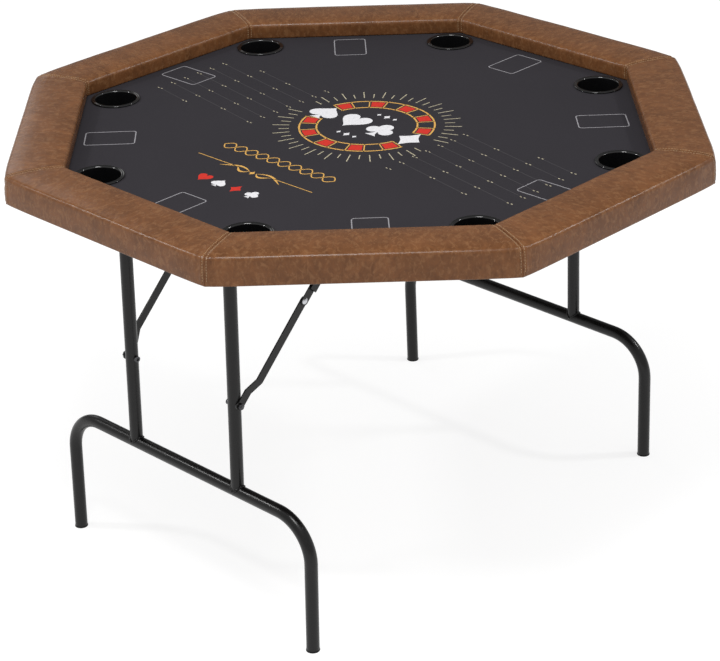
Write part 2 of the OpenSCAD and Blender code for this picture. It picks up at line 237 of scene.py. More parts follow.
class Shader:
    """A small helper that adds and joins the nodes of one material."""

    def __init__(self, name):
        old = bpy.data.materials.get(name)
        if old:
            bpy.data.materials.remove(old)
        self.material = bpy.data.materials.new(name)
        self.material.use_nodes = True
        self.tree = self.material.node_tree
        self.surface = self.tree.nodes["Principled BSDF"]
        self.bumps = None

    def add(self, kind, **values):
        """A new node, with its own settings."""
        made = self.tree.nodes.new(kind)
        for key, value in values.items():
            setattr(made, key, value)
        return made

    def join(self, source, target):
        self.tree.links.new(source, target)

    def place(self):
        """Where a point lies on its piece, in metres."""
        return self.add("ShaderNodeTexCoord").outputs["Object"]

    def attribute(self, name):
        """A place that the mesh itself carries."""
        return self.add("ShaderNodeAttribute", attribute_name=name).outputs["Vector"]

    def stretch(self, source, scale):
        """The same place, drawn out along some directions."""
        mapping = self.add("ShaderNodeMapping")
        mapping.inputs["Scale"].default_value = scale
        self.join(source, mapping.inputs["Vector"])
        return mapping.outputs["Vector"]

    def noise(self, source, scale, detail=4.0, rough=0.55, distortion=0.0):
        made = self.add("ShaderNodeTexNoise")
        made.inputs["Scale"].default_value = scale
        made.inputs["Detail"].default_value = detail
        made.inputs["Roughness"].default_value = rough
        made.inputs["Distortion"].default_value = distortion
        self.join(source, made.inputs["Vector"])
        return made.outputs["Fac"]

    def cells(self, source, scale):
        made = self.add("ShaderNodeTexVoronoi", feature="F1")
        made.inputs["Scale"].default_value = scale
        self.join(source, made.inputs["Vector"])
        return made.outputs["Distance"]

    def remap(self, value, low, high, to_low, to_high):
        made = self.add("ShaderNodeMapRange")
        limits = {"From Min": low, "From Max": high, "To Min": to_low, "To Max": to_high}
        for key, number in limits.items():
            made.inputs[key].default_value = number
        self.join(value, made.inputs["Value"])
        return made.outputs["Result"]

    def math(self, operation, a, b):
        made = self.add("ShaderNodeMath", operation=operation)
        for socket, value in zip(made.inputs, (a, b)):
            if isinstance(value, (int, float)):
                socket.default_value = value
            else:
                self.join(value, socket)
        return made.outputs["Value"]

    def mix(self, factor, a, b):
        made = self.add("ShaderNodeMix", data_type="RGBA")
        for key, value in (("Factor", factor), ("A", a), ("B", b)):
            socket = made.inputs[key]
            if isinstance(value, bpy.types.NodeSocket):
                self.join(value, socket)
            elif isinstance(value, (int, float)):
                socket.default_value = value
            else:
                socket.default_value = (*value, 1)
        return made.outputs["Result"]

    def bump(self, height, distance, strength=1.0):
        """Add a bump on top of the ones before it."""
        made = self.add("ShaderNodeBump")
        made.inputs["Strength"].default_value = strength
        made.inputs["Distance"].default_value = distance
        self.join(height, made.inputs["Height"])
        if self.bumps:
            self.join(self.bumps, made.inputs["Normal"])
        self.bumps = made.outputs["Normal"]

    def finish(self, colour, rough, metallic=0.0, specular=0.5, **more):
        """Join colour, roughness and bumps to the surface, and return the material."""
        for key, value in (("Base Color", colour), ("Roughness", rough)):
            if isinstance(value, bpy.types.NodeSocket):
                self.join(value, self.surface.inputs[key])
            elif isinstance(value, (int, float)):
                self.surface.inputs[key].default_value = value
            else:
                self.surface.inputs[key].default_value = (*value, 1)
        self.surface.inputs["Metallic"].default_value = metallic
        self.surface.inputs["Specular IOR Level"].default_value = specular
        for key, value in more.items():
            self.surface.inputs[key.replace("_", " ").title()].default_value = value
        if self.bumps:
            self.join(self.bumps, self.surface.inputs["Normal"])
        return self.material


def scaled(colour, factor):
    return tuple(c * factor for c in colour)


# In the finishes below, texture scales are in cycles per metre and bump distances in metres.
WEAVE_PITCH = 0.55 * MM


def leatherette(settings):
    """Distressed leatherette: cloudy colour, dark mottle, rubbed patches, grain, pores and creases."""
    s = Shader("distressed_leatherette")
    skin = s.attribute("skin")
    clouds = s.noise(skin, 16, 4, 0.6, 0.5)
    mottle = s.noise(s.stretch(skin, (1.0, 0.6, 1.0)), 60, 6, 0.68, 0.8)
    rubs = s.noise(s.stretch(skin, (1.0, 0.6, 1.0)), 120, 5, 0.7, 0.6)
    hairs = s.noise(s.stretch(skin, (1.0, 0.22, 1.0)), 420, 4, 0.7, 0.6)
    leather = settings.leather
    base = s.mix(s.remap(clouds, 0.35, 0.68, 0, 1), scaled(leather, 0.85), scaled(leather, 1.15))
    base = s.mix(s.remap(mottle, 0.40, 0.72, 0, 0.75), base, tuple(settings.leather_dark))
    base = s.mix(s.remap(rubs, 0.48, 0.68, 0, 0.7), base, tuple(settings.leather_worn))
    base = s.mix(s.remap(hairs, 0.50, 0.75, 0, 0.12), base, tuple(settings.leather_dark))
    grain = s.cells(skin, 620)
    pores = s.noise(skin, 1500, 3, 0.6)
    creases = s.noise(skin, 110, 5, 0.6, 0.6)
    s.bump(grain, 0.00022, 0.35)
    s.bump(pores, 0.00010, 0.4)
    s.bump(creases, 0.0008, 0.35)
    rough = s.remap(rubs, 0.3, 0.7, 0.2, 0.32)
    return s.finish(base, rough, specular=0.2)


def thread_finish(settings):
    """Twisted thread."""
    s = Shader("sewing_thread")
    place = s.place()
    twist = s.noise(place, 1800, 2)
    s.bump(twist, 0.0002, 0.6)
    colour = s.mix(twist, scaled(settings.thread, 0.75), tuple(settings.thread))
    return s.finish(colour, 0.75, specular=0.3)


def speed_cloth(settings):
    """Tightly woven cloth with a few raised fibres."""
    s = Shader("speed_cloth")
    place = s.place()
    split = s.add("ShaderNodeSeparateXYZ")
    s.join(place, split.inputs["Vector"])
    threads = 2 * math.pi / WEAVE_PITCH
    warp = s.math("SINE", s.math("MULTIPLY", split.outputs["X"], threads), 0)
    weft = s.math("SINE", s.math("MULTIPLY", split.outputs["Y"], threads), 0)
    weave = s.math("MULTIPLY", warp, weft)
    fibres = s.noise(place, 900, 3, 0.7)
    shade = s.noise(place, 3.5, 4, 0.5)
    s.bump(weave, 0.00010, 0.35)
    s.bump(fibres, 0.00012, 0.5)
    cloth = settings.cloth
    base = s.mix(s.remap(shade, 0.3, 0.7, 0, 1), scaled(cloth, 0.93), scaled(cloth, 1.07))
    base = s.mix(s.remap(fibres, 0.35, 0.65, 0, 0.25), base, scaled(cloth, 1.5))
    return s.finish(base, 0.9, specular=0.15)


def ink(name, colour, settings):
    """Printed ink: the cloth's fibres show through it a little."""
    s = Shader(name)
    fibres = s.noise(s.place(), 900, 3, 0.7)
    wear = s.noise(s.place(), 240, 3, 0.7)
    s.bump(fibres, 0.00012, 0.5)
    base = s.mix(s.remap(wear, 0.45, 0.8, 0.0, 0.3), tuple(colour), tuple(settings.cloth))
    base = s.mix(s.remap(fibres, 0.5, 0.8, 0.0, 0.3), base, scaled(colour, 0.75))
    return s.finish(base, 0.85, specular=0.15)


def powder_coat(colour):
    """Satin powder coat: fine orange peel with a little dust."""
    s = Shader("black_powder_coat")
    place = s.place()
    peel = s.noise(place, 420, 2, 0.5)
    dust = s.noise(place, 60, 5, 0.65)
    s.bump(peel, 0.00018, 0.35)
    base = s.mix(s.remap(dust, 0.4, 0.75, 0, 1), scaled(colour, 0.9), scaled(colour, 1.35))
    return s.finish(base, s.remap(dust, 0.3, 0.7, 0.22, 0.35), specular=0.3)


def gloss_plastic(colour):
    """Glossy moulded plastic with faint scuffs up its walls."""
    s = Shader("cup_plastic")
    place = s.place()
    ripple = s.noise(place, 45, 2, 0.4)
    scuffs = s.noise(s.stretch(place, (1, 1, 0.2)), 260, 4, 0.7)
    s.bump(ripple, 0.00025, 0.2)
    base = s.mix(s.remap(scuffs, 0.55, 0.8, 0, 1), tuple(colour), scaled(colour, 1.8))
    return s.finish(base, s.remap(scuffs, 0.4, 0.75, 0.08, 0.2), specular=0.5)


def zinc_plate(colour):
    """Spangled zinc."""
    s = Shader("zinc_plate")
    place = s.place()
    spangle = s.cells(place, 700)
    haze = s.noise(place, 350, 4, 0.6)
    s.bump(haze, 0.00008, 0.4)
    base = s.mix(s.remap(spangle, 0.1, 0.7, 0, 1), tuple(colour), scaled(colour, 0.82))
    return s.finish(base, s.remap(haze, 0.3, 0.7, 0.22, 0.4), metallic=1.0)


def blackened_steel():
    """Dark oiled steel."""
    s = Shader("blackened_steel")
    place = s.place()
    haze = s.noise(place, 500, 4, 0.6)
    s.bump(haze, 0.00008, 0.5)
    base = s.mix(haze, (0.035, 0.035, 0.038), (0.11, 0.11, 0.115))
    return s.finish(base, s.remap(haze, 0.3, 0.7, 0.28, 0.45), metallic=0.8)


def soft_rubber():
    """Dull black rubber, scuffed grey."""
    s = Shader("foot_cap_rubber")
    place = s.place()
    grain = s.noise(place, 1100, 3, 0.6)
    scuffs = s.noise(place, 150, 4, 0.7)
    s.bump(grain, 0.0001, 0.6)
    base = s.mix(s.remap(scuffs, 0.5, 0.75, 0, 1), (0.011, 0.011, 0.011), (0.035, 0.034, 0.032))
    return s.finish(base, 0.72, specular=0.4)


def board_paint(settings):
    """Thinly painted fibreboard with its fibres showing."""
    s = Shader("painted_fibreboard")
    place = s.place()
    fibres = s.noise(s.stretch(place, (1.0, 0.25, 1.0)), 380, 5, 0.7)
    blotches = s.noise(place, 7, 5, 0.6)
    s.bump(fibres, 0.0002, 0.5)
    board = settings.board
    base = s.mix(s.remap(blotches, 0.35, 0.7, 0, 1), scaled(board, 0.8), scaled(board, 1.15))
    base = s.mix(s.remap(fibres, 0.5, 0.8, 0, 0.6), base, scaled(board, 1.7))
    return s.finish(base, 0.7, specular=0.35)


def plain_pine():
    """Bare sawn pine."""
    s = Shader("plain_pine")
    rings = s.noise(s.stretch(s.place(), (1.0, 1.0, 12.0)), 14, 6, 0.6, 1.2)
    fibres = s.noise(s.place(), 600, 3, 0.7)
    s.bump(fibres, 0.0002, 0.4)
    return s.finish(s.mix(rings, linear((196, 160, 112)), linear((150, 108, 66))), 0.65)


def open_cell_foam():
    """Grey open-cell foam."""
    s = Shader("open_cell_foam")
    holes = s.cells(s.place(), 900)
    s.bump(holes, 0.0004, 0.8)
    return s.finish(s.mix(holes, linear((120, 116, 108)), linear((170, 166, 156))), 0.9)


def dress(nodes, material):
    """Give CAD nodes a finish of their own."""
    for name in nodes:
        piece = frame["nodes"][name]
        piece.data.materials.clear()
        piece.data.materials.append(material)


# ---------------------------------------------------------------- cloth and foam


SHEET_PITCH = 20 * MM
HOLE_STEPS = 72
# Width over which the cloth rises again beside a place that is pressed down.
DIP_WIDTH = 5 * MM


def cup_centres():
    boxes = [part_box(f"cup_holder_{i + 1}") for i in range(SIDES)]
    return [((low.x + high.x) / 2, (low.y + high.y) / 2) for low, high in boxes]


def octagon_loop(half_width, pitch):
    """Points along an octagon whose sides stand half_width from the middle."""
    count = max(2, round(2 * half_width * TAN / pitch))
    points = []
    for side in range(SIDES):
        c, n = math.cos(2 * HALF * side), math.sin(2 * HALF * side)
        for i in range(count):
            along = half_width * TAN * (2 * i / count - 1)
            points.append(Vector((half_width * c - along * n, half_width * n + along * c)))
    return points


def depth_inside(x, y):
    """Distance from the middle toward the nearest side of the octagon."""
    return max(x * math.cos(2 * HALF * k) + y * math.sin(2 * HALF * k) for k in range(SIDES))


def sheet_layout():
    """Points, and the triangles between them, of an octagon with the eight cup holes."""
    centres = [Vector(centre) for centre in cup_centres()]
    turns = [2 * math.pi * i / HOLE_STEPS for i in range(HOLE_STEPS)]
    points, edges = [], []

    def add_loop(loop):
        start = len(points)
        points.extend(loop)
        edges.extend((start + i, start + (i + 1) % len(loop)) for i in range(len(loop)))

    for half_width in (SHEET_HALF, INNER, INNER - DIP_WIDTH):
        add_loop(octagon_loop(half_width, SHEET_PITCH))
    for centre in centres:
        for radius in (HOLE_RADIUS, CUP_RIM, CUP_RIM + DIP_WIDTH):
            add_loop([centre + radius * Vector((math.cos(turn), math.sin(turn))) for turn in turns])
    steps = int(SHEET_HALF / SHEET_PITCH)
    for i in range(-steps, steps + 1):
        for j in range(-steps, steps + 1):
            spot = Vector((i * SHEET_PITCH, j * SHEET_PITCH))
            clear = min((spot - centre).length for centre in centres) > CUP_RIM + 2 * DIP_WIDTH
            if clear and depth_inside(*spot) < INNER - 12 * MM:
                points.append(spot)
    points, _, triangles, _, _, _ = geometry.delaunay_2d_cdt(points, edges, [], 0, 1e-7)
    kept = []
    hole = HOLE_RADIUS * math.cos(math.pi / HOLE_STEPS)
    for triangle in triangles:
        middle = sum((points[k] for k in triangle), Vector((0, 0))) / len(triangle)
        if min((middle - centre).length for centre in centres) > hole:
            kept.append(tuple(triangle))
    return points, kept


def cloth_dip(settings):
    """How far the cloth is pressed down at a place: under the rail's foot and under each cup's rim."""
    centres = cup_centres()

    def dip(x, y):
        foot = clamped((depth_inside(x, y) - INNER) / DIP_WIDTH + 1)
        away = min(math.hypot(x - a, y - b) for a, b in centres)
        rim = clamped(1 - (away - CUP_RIM) / DIP_WIDTH)
        return max(settings.rail_dip * foot, settings.rim_dip * rim)

    return dip


def no_dip(x, y):
    """The dip of a sheet that nothing presses down."""
    return 0


def build_sheet(name, node, layout, material, slot, dip):
    """A thin sheet in the place of a node, closed all round its edge and its holes."""
    points, triangles = layout
    low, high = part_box(node)
    used = sorted({k for triangle in triangles for k in triangle})
    order = {k: i for i, k in enumerate(used)}
    count = len(used)
    vertices = [(points[k].x, points[k].y, high.z - dip(*points[k])) for k in used]
    vertices += [(points[k].x, points[k].y, low.z) for k in used]
    faces, rim = [], {}
    for triangle in triangles:
        corners = [order[k] for k in triangle]
        faces.append(tuple(corners))
        faces.append(tuple(count + k for k in reversed(corners)))
        for a, b in zip(corners, corners[1:] + corners[:1]):
            if (b, a) in rim:
                del rim[(b, a)]
            else:
                rim[(a, b)] = True
    faces += [(b, a, count + a, count + b) for a, b in rim]
    piece = new_piece(name, vertices, faces, material, TOP_BODY, slot, smooth=False)
    flip_outward(piece)
    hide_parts(node)
    return piece


# ---------------------------------------------------------------- padded rail


# Widths and depths of the marks that the seams and stitches leave in the padding.
SEAM_ZONE = 22 * MM
SEAM_WIDTH = 1.6 * MM
ROW_DEPTH, ROW_WIDTH = 0.45 * MM, 1.1 * MM
WELT_PLACE, WELT_WIDTH = 6.5 * MM, 2.4 * MM
PUCKER_REACH = 13 * MM
LONG_WAVES, SHORT_WAVES = 0.45 * MM, 0.22 * MM
PULL_NEAR, PULL_WIDE = 10 * MM, 38 * MM
# The pull of a seam grows from PULL_FROM inside the outer face, over PULL_RAMP.
PULL_FROM, PULL_RAMP = 34 * MM, 30 * MM

# Rows of points along a side: close beside a seam, in millimetres from it, and even beyond.
COLUMN_STEPS = (0, 0.5, 1.0, 1.6, 2.2, 2.9, 3.6, 4.3, 5.1, 6.2, 7.6, 9.4, 11.6, 14.4, 18, 22.5)
COLUMN_PITCH = 6 * MM

MITRE_GAP = 0.15 * MM
LOWER_EDGE = 2 * MM
# Each side is cut from another part of the hide.
HIDE_SHIFT, HIDE_DEPTH = 1.37, 0.61
STITCH_START, STITCH_STOP, STITCH_LIFT = 4 * MM, 3 * MM, 0.1 * MM


class RailSkin:
    """The outer face of the padded rail: its section, and a point on it anywhere along a side."""

    def __init__(self, settings):
        self.s = settings
        self.path = self.section()
        self.lengths = [0.0]
        for (r0, z0), (r1, z1) in zip(self.path, self.path[1:]):
            self.lengths.append(self.lengths[-1] + math.hypot(r1 - r0, z1 - z0))

    def section(self):
        """Radius and height from the inner face's foot, over the top, to the hem under the board."""
        s = self.s
        edge = s.edge_radius
        shoulder = RAIL_TOP - s.crown
        inner = INNER - s.inner_swell
        width = OUTER - inner
        foot = CLOTH_TOP + LOWER_EDGE
        points = [(INNER + 0.6 * MM, CLOTH_TOP - 0.4 * MM), (INNER, foot)]
        for i in range(1, 8):
            rise = i / 8
            lean = s.inner_swell * math.sin(rise * math.pi / 2)
            points.append((INNER - lean, foot + (shoulder - edge - foot) * rise))
        points += arc(inner + edge, shoulder - edge, edge, 180, 97, 8)
        for i in range(1, 24):
            t = -1 + 2 * i / 24
            x = inner + width / 2 + t * (width / 2 - edge)
            points.append((x, RAIL_TOP - s.crown * (t ** 4 + t ** 2) / 2))
        points += arc(OUTER - edge, shoulder - edge, edge, 83, 0, 9)
        face = shoulder - edge - RAIL_BASE - LOWER_EDGE
        for i in range(1, 14):
            t = i / 14
            swell = s.side_swell * math.sin(math.pi * t)
            points.append((OUTER + swell, shoulder - edge - face * t))
        points += arc(OUTER - LOWER_EDGE, RAIL_BASE + LOWER_EDGE, LOWER_EDGE, 0, -90, 4)
        for i in range(1, 7):
            points.append((OUTER - LOWER_EDGE - (s.hem_width - LOWER_EDGE) * i / 6, RAIL_BASE))
        return points

    def at(self, distance):
        """Radius, height and outward normal at a distance along the section."""
        distance = min(max(distance, 0), self.lengths[-1])
        i = 1
        while i < len(self.lengths) - 1 and self.lengths[i] < distance:
            i += 1
        a, b = self.path[i - 1], self.path[i]
        span = self.lengths[i] - self.lengths[i - 1]
        t = (distance - self.lengths[i - 1]) / span
        along = ((b[0] - a[0]) / span, (b[1] - a[1]) / span)
        return a[0] + (b[0] - a[0]) * t, a[1] + (b[1] - a[1]) * t, (-along[1], along[0])

    def lift(self, side, along, distance, gap):
        """How far the skin stands off its section: seam, stitch rows, puckers and slow waves."""
        s = self.s
        where = Vector((along, distance, side * 3.7))
        seam = -s.seam_depth * bell(gap, SEAM_WIDTH)
        row = -ROW_DEPTH * bell(gap - s.stitch_offset, ROW_WIDTH)
        row += s.welt * bell(gap - WELT_PLACE, WELT_WIDTH) * (0.3 + 0.7 * self.outward(distance))
        near = math.exp(-gap / PUCKER_REACH) * (1 - bell(gap, 3 * MM))
        wrinkles = noise.noise(Vector((along * 25, distance * 150, side * 5.1)))
        pucker = s.pucker * 2.2 * near * wrinkles
        waves = LONG_WAVES * noise.noise(where * 11) + SHORT_WAVES * noise.noise(where * 34)
        return seam + row + pucker + waves

    def outward(self, distance):
        """How far the skin faces outward there: 0 on top, 1 on the outer face."""
        return max(self.at(distance)[2][0], 0.0)

    def pulled_in(self, radius, height, gap):
        """How far a seam draws the skin's outer part in: most at the top edge."""
        share = clamped((radius - OUTER + PULL_FROM) / PULL_RAMP)
        share = share * share * (3 - 2 * share)
        raised = 0.4 + 0.6 * (height - RAIL_BASE) / (RAIL_TOP - RAIL_BASE)
        fade = 0.45 * bell(gap, PULL_NEAR) + 0.55 * bell(gap, PULL_WIDE)
        return self.s.corner_round * share * raised * fade

    def half_length(self, radius):
        """Half the length of a side, at a radius."""
        return radius * TAN - MITRE_GAP

    def point(self, side, end, gap, distance, lift=0.0, soft=1.0):
        """A point on the skin, gap metres from the mitre seam at one end (-1 or 1) of a side."""
        radius, height, normal = self.at(distance)
        along = end * (self.half_length(radius) - gap)
        up = self.lift(side, along, distance, gap) * soft + lift
        radius += normal[0] * up - self.pulled_in(radius, height, gap)
        along = end * (self.half_length(radius) - gap)
        return self.turned(side, radius, along, height + normal[1] * up)

    def spread(self, gap, radius):
        """A column's gap at this radius, from its gap at the inner face: even beyond the seam zone."""
        if gap < SEAM_ZONE:
            return gap
        stretch = (self.half_length(radius) - SEAM_ZONE) / (self.half_length(INNER) - SEAM_ZONE)
        return SEAM_ZONE + (gap - SEAM_ZONE) * stretch

    def turned(self, side, radius, along, height):
        """A place on a side, in the table's own directions."""
        angle = 2 * HALF * side
        c, n = math.cos(angle), math.sin(angle)
        return Vector((radius * c - along * n, radius * n + along * c, height))

    def gaps(self, half):
        """Distances from a seam at which the skin has a row of points, out to mid side."""
        rows = [x * MM for x in COLUMN_STEPS]
        count = max(2, round((half - rows[-1]) / COLUMN_PITCH))
        step = (half - rows[-1]) / count
        return rows + [rows[-1] + step * (i + 1) for i in range(count)]


def build_rail_pad(skin, side, material):
    """One side of the rail: the padded skin and its plain inner faces, as a closed form."""
    name = f"rail_pad_{side + 1}"
    half = skin.half_length(INNER)
    gaps = skin.gaps(half)
    columns = [(-1, gap) for gap in gaps] + [(1, gap) for gap in reversed(gaps[:-1])]
    clear = 0.1 * MM
    outer_wall, inner_wall, ceiling = OUTER - SKIN + clear, INNER + SKIN - clear, BLOCK_TOP + clear
    under_board = BOARD_LOW - clear / 2
    inside = [
        (OUTER - skin.s.hem_width, under_board), (OUTER - SKIN - 2 * clear, under_board),
        (outer_wall, BOARD_LOW), (outer_wall, ceiling),
        (inner_wall, ceiling), (inner_wall, CLOTH_TOP + clear / 2),
    ]
    vertices, faces, marks = [], [], []
    hem = skin.lengths[-1] - skin.s.hem_width
    for end, gap in columns:
        for (radius, _), distance in zip(skin.path, skin.lengths):
            local_gap = skin.spread(gap, radius)
            soft = clamped((distance - 0.5 * MM) / (4 * MM)) if distance <= hem - 3 * MM else 0.0
            vertices.append(skin.point(side, end, local_gap, distance, soft=soft))
            along = end * (skin.half_length(radius) - local_gap)
            marks.append((along + side * HIDE_SHIFT, distance, side * HIDE_DEPTH))
        for radius, height in inside:
            along = end * (skin.half_length(radius) - skin.spread(gap, radius))
            vertices.append(skin.turned(side, radius, along, height))
            marks.append((along, height, side * HIDE_DEPTH))
    ring = len(skin.path) + len(inside)
    for c in range(len(columns) - 1):
        for k in range(ring):
            n = (k + 1) % ring
            faces.append((c * ring + k, c * ring + n, (c + 1) * ring + n, (c + 1) * ring + k))
    last = (len(columns) - 1) * ring
    faces.append(tuple(reversed(range(ring))))
    faces.append(tuple(range(last, last + ring)))
    piece = new_piece("padded_" + name, vertices, faces, material, TOP_BODY, "leatherette")
    flip_outward(piece)
    layer = piece.data.attributes.new("skin", "FLOAT_VECTOR", "POINT")
    layer.data.foreach_set("vector", [x for mark in marks for x in mark])
    for polygon in piece.data.polygons[-2:]:
        polygon.use_smooth = False
    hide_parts(name)
    return piece


def flip_outward(piece):
    """Turn a closed mesh's faces outward, judged by its signed volume."""
    mesh = piece.data
    volume = 0.0
    for polygon in mesh.polygons:
        points = [mesh.vertices[i].co for i in polygon.vertices]
        for i in range(1, len(points) - 1):
            volume += points[0].dot(points[i].cross(points[i + 1]))
    if volume < 0:
        mesh.flip_normals()
    mesh.update()


def capsule(start, end, radius, up, sides=7):
    """A stitch: a short thread that dips into the leatherette at both ends."""
    along = end - start
    length = along.length
    along.normalize()
    across = along.cross(up).normalized()
    # Share of the length, share of the radius, and rise in radii, at each ring of points.
    half = ((0.0, 0.35, -0.6), (0.12, 0.8, -0.1), (0.35, 1.0, 0.25))
    stations = half + tuple((1 - share, size, rise) for share, size, rise in reversed(half))
    vertices, faces = [], []
    for share, size, rise in stations:
        centre = start + along * (length * share) + up * (rise * radius)
        for i in range(sides):
            angle = 2 * math.pi * i / sides
            spoke = across * math.cos(angle) + up * math.sin(angle)
            vertices.append(centre + spoke * (radius * size))
    for c in range(len(stations) - 1):
        for i in range(sides):
            n = (i + 1) % sides
            faces.append((c * sides + i, c * sides + n, (c + 1) * sides + n, (c + 1) * sides + i))
    faces.append(tuple(reversed(range(sides))))
    last = (len(stations) - 1) * sides
    faces.append(tuple(range(last, last + sides)))
    return vertices, faces


def build_seam_stitches(skin, corner, material):
    """Two rows of stitches at one corner, one on each side of its mitre seam."""
    s = skin.s
    vertices, faces = [], []
    stop = skin.lengths[-1] - s.hem_width - STITCH_STOP
    for side, end in ((corner, 1), ((corner + 1) % SIDES, -1)):
        start = STITCH_START
        while start + s.stitch_length < stop:
            a = skin.point(side, end, s.stitch_offset, start, STITCH_LIFT)
            b = skin.point(side, end, s.stitch_offset, start + s.stitch_length, STITCH_LIFT)
            _, _, normal = skin.at(start + s.stitch_length / 2)
            up = skin.turned(side, normal[0], 0, normal[1]).normalized()
            points, rings = capsule(a, b, s.thread_radius, up)
            base = len(vertices)
            vertices += points
            faces += [tuple(i + base for i in face) for face in rings]
            start += s.stitch_pitch
    piece = new_piece(f"corner_{corner + 1}_stitches", vertices, faces, material, TOP_BODY, "thread")
    flip_outward(piece)
    return piece


# ---------------------------------------------------------------- printed cloth


# How deep the ink is rooted in the cloth, and how far one layer of it lies above the next.
INK_ROOT, INK_LAYER = 0.05 * MM, 0.03 * MM
# Shapes of one suit that overlap lie this much above each other.
OVERLAP = 0.01 * MM


class Print:
    """Flat shapes of one ink, gathered in the print's own frame: X to the reader's right, Y away."""

    def __init__(self, name, slot, material, settings, layer=0):
        self.name, self.slot, self.material, self.settings = name, slot, material, settings
        self.low = CLOTH_TOP - INK_ROOT
        self.high = CLOTH_TOP + settings.ink_height + layer * INK_LAYER
        self.vertices, self.faces = [], []

    def put(self, x, y, height):
        """Add a point, turned and shifted onto the board."""
        turn = self.settings.print_turn
        u = x * math.cos(turn) - y * math.sin(turn) + self.settings.print_shift
        v = x * math.sin(turn) + y * math.cos(turn)
        self.vertices.append((v, -u, height))

    def outline(self, points, lift=0.0):
        """A filled shape inside one outline."""
        base, count = len(self.vertices), len(points)
        for x, y in points:
            self.put(x, y, self.low)
        for x, y in points:
            self.put(x, y, self.high + lift)
        self.faces.append(tuple(reversed(range(base, base + count))))
        self.faces.append(tuple(range(base + count, base + 2 * count)))
        for i in range(count):
            n = (i + 1) % count
            self.faces.append((base + i, base + n, base + count + n, base + count + i))

    def line(self, points, width, closed=False, taper=False):
        """A line of one width along points, or one that narrows to its two ends."""
        count = len(points)
        left, right = [], []
        for i, (x, y) in enumerate(points):
            before = points[i - 1] if i or closed else points[i]
            after = points[(i + 1) % count] if i + 1 < count or closed else points[i]
            dx, dy = after[0] - before[0], after[1] - before[1]
            size = math.hypot(dx, dy) or 1
            half = width / 2
            if taper:
                half *= max(0.12, math.sin(math.pi * (i + 0.5) / count))
            left.append((x - dy / size * half, y + dx / size * half))
            right.append((x + dy / size * half, y - dx / size * half))
        if not closed:
            self.outline(right + left[::-1])
            return
        base = len(self.vertices)
        for height in (self.low, self.high):
            for x, y in left:
                self.put(x, y, height)
            for x, y in right:
                self.put(x, y, height)
        for i in range(count):
            n = (i + 1) % count
            l0, l1, r0, r1 = base + i, base + n, base + count + i, base + count + n
            t = 2 * count
            self.faces.append((l0, l1, r1, r0))
            self.faces.append((l0 + t, r0 + t, r1 + t, l1 + t))
            self.faces.append((l0, l0 + t, l1 + t, l1))
            self.faces.append((r0, r1, r1 + t, r0 + t))

    def done(self):
        """The printed shapes as one piece."""
        shapes = (self.vertices, self.faces)
        return new_piece(self.name, *shapes, self.material, TOP_BODY, self.slot, smooth=False)


def moved(points, x, y, size=1.0, turn=0.0):
    """Points scaled, turned and set down at a place."""
    c, n = math.cos(turn), math.sin(turn)
    return [(x + size * (px * c - py * n), y + size * (px * n + py * c)) for px, py in points]


def heart():
    """A heart one unit high and wide, centred."""
    points = []
    for i in range(48):
        t = 2 * math.pi * (i + 0.5) / 48
        x = 16 * math.sin(t) ** 3
        y = 13 * math.cos(t) - 5 * math.cos(2 * t) - 2 * math.cos(3 * t) - math.cos(4 * t)
        points.append((x / 32, (y + 2.5) / 30))
    return points


def diamond():
    """A diamond one unit high, with sides that bow inward."""
    points = []
    for q in range(4):
        a, b = q * math.pi / 2, (q + 1) * math.pi / 2
        for i in range(6):
            t = i / 6
            x = math.cos(a) * (1 - t) + math.cos(b) * t
            y = math.sin(a) * (1 - t) + math.sin(b) * t
            pull = 1 - 0.16 * math.sin(math.pi * t)
            points.append((x * 0.40 * pull, y * 0.5 * pull))
    return points


def stem():
    """The foot under a spade or a club."""
    left = [(-0.02, 0.0), (-0.05, -0.26), (-0.10, -0.38), (-0.2, -0.48)]
    return left + [(-x, y) for x, y in reversed(left)]


def disc(x, y, radius):
    """A round spot."""
    return arc(x, y, radius, 0, 345, 23)


def draw_suit(sheet, suit, x, y, size):
    """One card suit, about one size high."""
    if suit == "heart":
        sheet.outline(moved(heart(), x, y, size))
    elif suit == "diamond":
        sheet.outline(moved(diamond(), x, y, size))
    elif suit == "spade":
        body = [(px, -py * 0.86 + 0.08) for px, py in heart()]
        sheet.outline(moved(body[::-1], x, y, size))
        sheet.outline(moved(stem()[::-1], x, y, size), lift=OVERLAP)
    else:
        for i, (px, py) in enumerate(((0, 0.24), (-0.235, -0.06), (0.235, -0.06))):
            sheet.outline(moved(disc(px, py, 0.225), x, y, size), lift=OVERLAP * i)
        sheet.outline(moved(stem()[::-1], x, y, size), lift=3 * OVERLAP)
        sheet.outline(moved(disc(0, 0.03, 0.1), x, y, size), lift=4 * OVERLAP)


def rounded_rectangle(width, length, radius):
    """A rectangle with round corners, centred."""
    points = []
    for cx, cy, start in ((1, 1, 0), (-1, 1, 90), (-1, -1, 180), (1, -1, 270)):
        centre = (cx * (width / 2 - radius), cy * (length / 2 - radius))
        points += arc(*centre, radius, start, start + 90, 5)
    return points


# The medallion: its centre, its parts and its line widths.
MEDALLION = (5 * MM, 22 * MM)
RING_PARTS = 9
RING_GAP = 17
RING_SHARE = 0.745
RING_LINE, SPOKE_LINE = 3.2 * MM, 2.2 * MM
RAYS = 52
RAY_START, RAY_SHORT, RAY_LONG = 1.15, 1.30, 1.40
RAY_LINE = 1.7 * MM
SUIT_PITCH, SUIT_SIZE = 68 * MM, 60 * MM
DIAMOND_PITCH, DIAMOND_ROW = 19 * MM, 53 * MM
DIAMOND_LARGE, DIAMOND_SMALL = 17 * MM, 11 * MM

